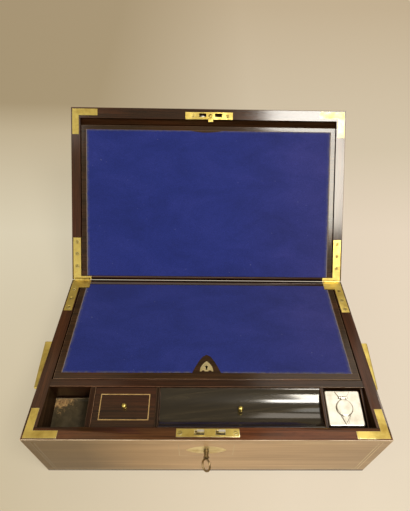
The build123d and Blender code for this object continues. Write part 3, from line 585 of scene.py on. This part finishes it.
# ---- Writing flaps ---------------------------------------------------------------------------
# Two thin boards faced with blue silk velvet that meet at the hinge and make the writing slope.
# The velvet is glued down inside a margin of bare wood and runs on over the joint, as its hinge.
flap_start, flap_end, flap_half = 0.09754, 0.2716, 0.1985
lid_start, lid_end, lid_half = 0.0069, 0.24702, 0.2007
flap_fold, lid_fold = 0.26307, 0.01605
hinge_foot_half = 0.1935
cloth_thick = 0.0009
cloth_drop = 0.0003
crease_half = 0.0006


flap_sunk = 0.0014


def flap_arris(first, second):
    """Whether an edge lies on the base flap's upper face."""
    return abs((rim_back @ first).z) < flap_sunk and abs((rim_back @ second).z) < flap_sunk


def lid_flap_arris(first, second):
    """Whether an edge lies on the lid flap's outer face."""
    return abs((lid_back @ first).z) < flap_sunk and abs((lid_back @ second).z) < flap_sunk


flap_dark = (0.026, 0.012, 0.0035)
flap_warm = (0.080, 0.034, 0.010)
low_flap_rose = rosewood("low_flap_rosewood", (0, 0, 0), flap_dark, flap_warm, 0.4, 0.95)
lid_flap_rose = rosewood("lid_flap_rosewood", (0, 0, 0), flap_dark, flap_warm, 0.7, 0.75)
# The flaps' rounded arrises take the paler colours: partly wear, partly a painted highlight.
ease("base_flap_board", "base_flap", flap_arris, (low_flap_rose, highlit_worn_along), 0.0006)
ease("lid_flap_board", "lid_flap", lid_flap_arris, (lid_flap_rose, highlit_rubbed_along), 0.0005)


def blue_velvet(name, seat, lean_back, half, start, end):
    """Silk velvet with a brushed nap, a little dust in it, and paler where it frays near its edges."""
    made, tree, shader = finish(name, 0.9)
    shift = -(Matrix.Rotation(lean_back, 3, "X") @ seat.translation)
    where = place(tree, (lean_back, 0, 0), shift=shift)
    pile = noise(tree, where, 900, 3.0, 0.6)
    nap = noise(tree, place(tree, (lean_back, 0, 0), (9, 16, 16), shift), 1.0, 6.0, 0.65, 0.5)
    ground = ramp(tree, nap, (0.3, (0.016, 0.026, 0.170)), (0.5, (0.020, 0.032, 0.215)),
                  (0.7, (0.028, 0.040, 0.25)))
    tips = ramp(tree, pile, (0.35, (0.72, 0.72, 0.74)), (0.65, (1.2, 1.2, 1.18)))
    brushed = blend_colours(tree, "MULTIPLY", 0.8, ground, tips)
    parts = add(tree, "ShaderNodeSeparateXYZ")
    tree.links.new(where, parts.inputs["Vector"])
    aside = add(tree, "ShaderNodeMath", operation="ABSOLUTE")
    tree.links.new(parts.outputs["X"], aside.inputs[0])
    near_side = between(tree, aside.outputs[0], half - 0.0055, half - 0.0005)
    near_end = between(tree, parts.outputs["Y"], end - 0.003, end)
    near_start = between(tree, parts.outputs["Y"], start + 0.003, start)
    edge = near_side
    for other in (near_end, near_start):
        either = add(tree, "ShaderNodeMath", operation="MAXIMUM")
        tree.links.new(edge, either.inputs[0])
        tree.links.new(other, either.inputs[1])
        edge = either.outputs[0]
    ragged = add(tree, "ShaderNodeMath", operation="MULTIPLY")
    tree.links.new(edge, ragged.inputs[0])
    tree.links.new(between(tree, noise(tree, where, 130, 5.0, 0.7), 0.35, 0.62), ragged.inputs[1])
    across = between(tree, parts.outputs["X"], -half, half)
    # Painted sheen: the velvet lighter, greyer and redder towards its right-hand side.
    painted_sheen = ramp(tree, across, (0.3, (0.95, 0.98, 0.98)), (0.6, (1.10, 1.05, 1)), (1.0, (1.60, 1.17, 0.91)))
    sheen_painted_nap = blend_colours(tree, "MULTIPLY", 1.0, brushed, painted_sheen)
    frayed = blend_colours(tree, "MIX", ragged.outputs[0], sheen_painted_nap, (0.11, 0.11, 0.15))
    bound = between(tree, aside.outputs[0], half - 0.0014, half - 0.0010, 0, 0.75)
    frayed = blend_colours(tree, "MIX", bound, frayed, (0.27, 0.235, 0.20))
    lint = ramp(tree, noise(tree, where, 230, 2.0), (0.745, (0, 0, 0)), (0.775, (0.45, 0.45, 0.45)))
    dusty = blend_colours(tree, "MIX", lint, frayed, (0.24, 0.25, 0.34))
    tree.links.new(dusty, shader.inputs["Base Color"])
    shader.inputs["Sheen Weight"].default_value = 0.45
    shader.inputs["Sheen Roughness"].default_value = 0.45
    shader.inputs["Sheen Tint"].default_value = (0.42, 0.42, 0.80, 1)
    shader.inputs["Specular IOR Level"].default_value = 0.15
    bump(tree, shader, pile, 0.0004, 0.5)
    return made


cut_edge, tree, shader = finish("velvet_cut_edge", 0.9)
threads = noise(tree, place(tree), 330, 3, 0.7)
fluff = ramp(tree, threads, (0.36, (0.045, 0.045, 0.085)), (0.52, (0.16, 0.145, 0.14)),
             (0.68, (0.34, 0.30, 0.26)))
tree.links.new(fluff, shader.inputs["Base Color"])


def velvet_sheet(name, seat, half, start, end, fold, cloth, notches):
    """A sheet of velvet on its boards, cut with lines across the joint, its pile rolled over at the cut
    edges.
    """
    bpy.ops.object.select_all(action="DESELECT")
    cell = 0.005
    across = round(2 * half / cell)
    along = round((end - start) / cell)
    underside = (0, (start + end) / 2, -cloth_drop - cloth_thick)
    bpy.ops.mesh.primitive_grid_add(x_subdivisions=across, y_subdivisions=along, size=1, location=underside)
    piece = bpy.context.object
    piece.name = name
    bpy.ops.object.mode_set(mode="EDIT")
    bpy.ops.mesh.select_all(action="SELECT")
    bpy.ops.transform.resize(value=(2 * half, end - start, 1))
    bpy.ops.mesh.extrude_region_move(TRANSFORM_OT_translate={"value": (0, 0, cloth_thick)})
    for line in (fold - crease_half, fold, fold + crease_half):
        bpy.ops.mesh.select_all(action="SELECT")
        bpy.ops.mesh.bisect(plane_co=(0, line, 0), plane_no=(0, 1, 0))
    bpy.ops.mesh.select_all(action="SELECT")
    bpy.ops.mesh.normals_make_consistent(inside=False)
    bpy.ops.object.mode_set(mode="OBJECT")
    bpy.ops.object.transform_apply(location=True, rotation=True, scale=True)
    cut = piece.modifiers.new("notches", "BOOLEAN")
    cut.object = notches
    cut.operation = "DIFFERENCE"
    cut.solver = "EXACT"
    bpy.ops.object.modifier_apply(modifier="notches")
    bpy.data.objects.remove(notches)
    bpy.ops.object.mode_set(mode="EDIT")
    bpy.context.tool_settings.mesh_select_mode = (False, True, False)
    bpy.ops.mesh.select_all(action="DESELECT")
    net = bmesh.from_edit_mesh(piece.data)
    for edge in net.edges:
        level = all(abs(v.co.z + cloth_drop) < hair for v in edge.verts)
        edge.select_set(level and edge.is_manifold and edge.calc_face_angle(0) > 0.7)
    bmesh.update_edit_mesh(piece.data)
    bpy.ops.mesh.bevel(offset=0.0007, segments=2, clamp_overlap=False, material=1)
    bpy.ops.object.mode_set(mode="OBJECT")
    piece.matrix_world = seat
    only(piece)
    bpy.ops.object.transform_apply(location=True, rotation=True, scale=True)
    piece.data.materials.append(cloth)
    piece.data.materials.append(cut_edge)
    smooth(piece, 0.9)
    return piece


# The front sheet is cut to a pointed arch round the keyhole plate and narrower beside the hinges.
arch_at, arch_half, arch_rise = -0.0015, 0.0195, 0.031
bpy.ops.object.select_all(action="DESELECT")
bpy.ops.mesh.primitive_circle_add(vertices=48, radius=1, fill_type="NGON", location=(arch_at, flap_start, 0))
front_notches = bpy.context.object
bpy.ops.object.mode_set(mode="EDIT")
net = bmesh.from_edit_mesh(front_notches.data)
for v in net.verts:
    turn = math.atan2(v.co.y, v.co.x)
    share = abs(turn) / quarter if abs(turn) <= quarter else 2 - abs(turn) / quarter
    if v.co.y < 0:
        v.co = Vector((arch_half * v.co.x, -0.004, 0))
    else:
        v.co = Vector((math.copysign(arch_half * (1 - share) ** 0.62, math.cos(turn)), arch_rise * share, 0))
bmesh.update_edit_mesh(front_notches.data)
bpy.ops.mesh.select_all(action="SELECT")
bpy.ops.mesh.extrude_region_move(TRANSFORM_OT_translate={"value": (0, 0, 0.004)})
bpy.ops.mesh.select_all(action="SELECT")
bpy.ops.transform.translate(value=(0, 0, -0.003))
foot_back = flap_fold + 0.00025
for side in (-1, 1):
    bpy.ops.mesh.primitive_cube_add(size=1, location=(side * (hinge_foot_half + 0.01), foot_back + 0.01, 0))
    bpy.ops.transform.resize(value=(0.02, 0.02, 0.006))
bpy.ops.mesh.select_all(action="SELECT")
bpy.ops.mesh.normals_make_consistent(inside=False)
bpy.ops.object.mode_set(mode="OBJECT")
base_velvet = blue_velvet("base_velvet", rim_place, slope, flap_half, flap_start, flap_end + 0.01)
flap_cloth = velvet_sheet("writing_velvet_front", rim_place, flap_half, flap_start, flap_end, flap_fold,
                          base_velvet, front_notches)
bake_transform(flap_cloth)
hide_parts("base_flap_velvet", "base_rail_velvet")

# The back sheet has a shallow thumb notch in its far edge, where the flap is lifted.
notch_half, notch_deep = 0.026, 0.0028
notch_round = (notch_half ** 2 + notch_deep ** 2) / (2 * notch_deep)
bpy.ops.object.select_all(action="DESELECT")
bpy.ops.mesh.primitive_cylinder_add(vertices=160, radius=notch_round, depth=0.006,
                                    location=(-0.004, lid_end - notch_deep + notch_round, 0))
back_notch = bpy.context.object
bpy.ops.object.transform_apply(location=True, rotation=True, scale=True)
lid_velvet = blue_velvet("lid_velvet", lid_place, -lean, lid_half, lid_start - 0.01, lid_end)
lid_cloth = velvet_sheet("writing_velvet_back", lid_place, lid_half, lid_start, lid_end, lid_fold,
                         lid_velvet, back_notch)
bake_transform(lid_cloth)
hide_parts("lid_rail_velvet", "lid_flap_velvet")

# ---- Floor, lights and camera ----------------------------------------------------------------
# A cream paper sweep under warm soft light, with painted shade that darkens it towards the back and on the
# left.
floor_size = 6.0
bpy.ops.mesh.primitive_plane_add(size=floor_size, location=(0, 1.0, 0))
floor = bpy.context.object
floor.name = "floor"
only(floor)
bpy.ops.object.transform_apply(location=True)
paper, tree, shader = finish("cream_paper", 0.85)
shader.inputs["Base Color"].default_value = (0.78, 0.70, 0.56, 1)
parts = add(tree, "ShaderNodeSeparateXYZ")
tree.links.new(place(tree), parts.inputs["Vector"])
far = between(tree, parts.outputs["Y"], -0.2, 1.4)
# Painted shade on the floor: darker towards the back, and darker still on the left.
left_floor_shade = ramp(tree, far, (0.0, (0.56, 0.47, 0.31)), (0.32, (0.75, 0.68, 0.51)),
                 (0.53, (0.53, 0.44, 0.29)), (0.61, (0.34, 0.26, 0.145)), (1.0, (0.38, 0.29, 0.17)))
right_floor_shade = ramp(tree, far, (0.0, (0.80, 0.69, 0.54)), (0.33, (0.84, 0.71, 0.57)),
                  (0.5, (0.68, 0.58, 0.43)), (1.0, (0.57, 0.45, 0.30)))
rightward = between(tree, parts.outputs["X"], -0.3, 0.12)
painted = blend_colours(tree, "MIX", rightward, left_floor_shade, right_floor_shade)
# The painted floor colour glows for camera, glossy and transmission rays, over the lit paper.
glow = add(tree, "ShaderNodeEmission")
tree.links.new(painted, glow.inputs["Color"])
ray = add(tree, "ShaderNodeLightPath")
seen = add(tree, "ShaderNodeMath", operation="MAXIMUM")
tree.links.new(ray.outputs["Is Camera Ray"], seen.inputs[0])
tree.links.new(ray.outputs["Is Glossy Ray"], seen.inputs[1])
seen_or_through = add(tree, "ShaderNodeMath", operation="MAXIMUM")
tree.links.new(seen.outputs[0], seen_or_through.inputs[0])
tree.links.new(ray.outputs["Is Transmission Ray"], seen_or_through.inputs[1])
share = add(tree, "ShaderNodeMath", operation="MULTIPLY")
tree.links.new(seen_or_through.outputs[0], share.inputs[0])
share.inputs[1].default_value = 0.72
both = add(tree, "ShaderNodeMixShader")
tree.links.new(share.outputs[0], both.inputs[0])
tree.links.new(shader.outputs[0], both.inputs[1])
tree.links.new(glow.outputs[0], both.inputs[2])
tree.links.new(both.outputs[0], tree.nodes["Material Output"].inputs["Surface"])
floor.data.materials.append(paper)


def softbox(name, place_at, aim_at, width, height, power, colour=(1, 0.95, 0.87)):
    """A rectangular studio lamp turned towards a point."""
    lamp = bpy.data.lights.new(name, "AREA")
    lamp.shape = "RECTANGLE"
    lamp.size = width
    lamp.size_y = height
    lamp.energy = power
    lamp.color = colour
    made = bpy.data.objects.new(name, lamp)
    bpy.context.scene.collection.objects.link(made)
    made.location = place_at
    made.rotation_euler = (Vector(aim_at) - Vector(place_at)).to_track_quat("-Z", "Y").to_euler()
    return made


softbox("lid_softbox", (0.49, -0.40, 1.55), (0.49, -0.40, 0), 0.40, 0.24, 6.6, (1, 0.96, 0.88))
softbox("long_softbox", (0.65, -0.83, 1.55), (0.65, -0.83, 0), 0.42, 0.60, 14, (1, 0.93, 0.80))
softbox("middle_softbox", (0.64, 0.45, 1.55), (0.64, 0.45, 0), 0.42, 0.42, 1.15, (1, 0.97, 0.88))
softbox("back_softbox", (0.70, 1.35, 1.55), (0.70, 1.35, 0), 0.80, 0.90, 4.4, (1, 0.90, 0.78))
softbox("back_left_softbox", (-0.80, 1.20, 1.55), (-0.80, 1.20, 0), 0.70, 0.70, 1.2, (1, 0.84, 0.62))
softbox("corner_softbox", (-0.74, -0.42, 1.55), (-0.74, -0.42, 0), 0.30, 0.26, 0.4)
softbox("left_softbox", (-1.6, -0.9, 1.5), (-0.1, 0, 0.15), 0.9, 0.9, 5)
softbox("front_softbox", (-0.5, -2.1, 0.8), (0, 0, 0.15), 2.4, 1.2, 14)
world = bpy.data.worlds.new("studio")
bpy.context.scene.world = world
world.use_nodes = True
world.node_tree.nodes["Background"].inputs["Color"].default_value = (0.64, 0.54, 0.37, 1)
world.node_tree.nodes["Background"].inputs["Strength"].default_value = 0.45

pitch, yaw, roll = math.radians(50.98), math.radians(1.65), math.radians(1.83)
ahead = Vector((math.sin(yaw) * math.cos(pitch), math.cos(yaw) * math.cos(pitch), -math.sin(pitch)))
right = Vector((math.cos(yaw), -math.sin(yaw), 0))
up = right.cross(ahead)
turned_right = right * math.cos(roll) + up * math.sin(roll)
turned_up = up * math.cos(roll) - right * math.sin(roll)
view_matrix = Matrix((turned_right, turned_up, -ahead)).transposed().to_4x4()
view_matrix.translation = (-0.00851, -0.31084, 0.70453)
sensor = 36
frame_wide, frame_tall = 410, 511
focal = 457.78
centre_x, centre_y = 210.88, 255.0
camera_data = bpy.data.cameras.new("camera")
camera_data.sensor_width = sensor
camera_data.lens = sensor * focal / frame_tall
camera_data.shift_x = (frame_wide / 2 - centre_x) / frame_tall
camera_data.shift_y = (centre_y - frame_tall / 2) / frame_tall
camera = bpy.data.objects.new("camera", camera_data)
camera.matrix_world = view_matrix
bpy.context.scene.collection.objects.link(camera)
bpy.context.scene.camera = camera
bpy.context.scene.view_settings.view_transform = "Standard"
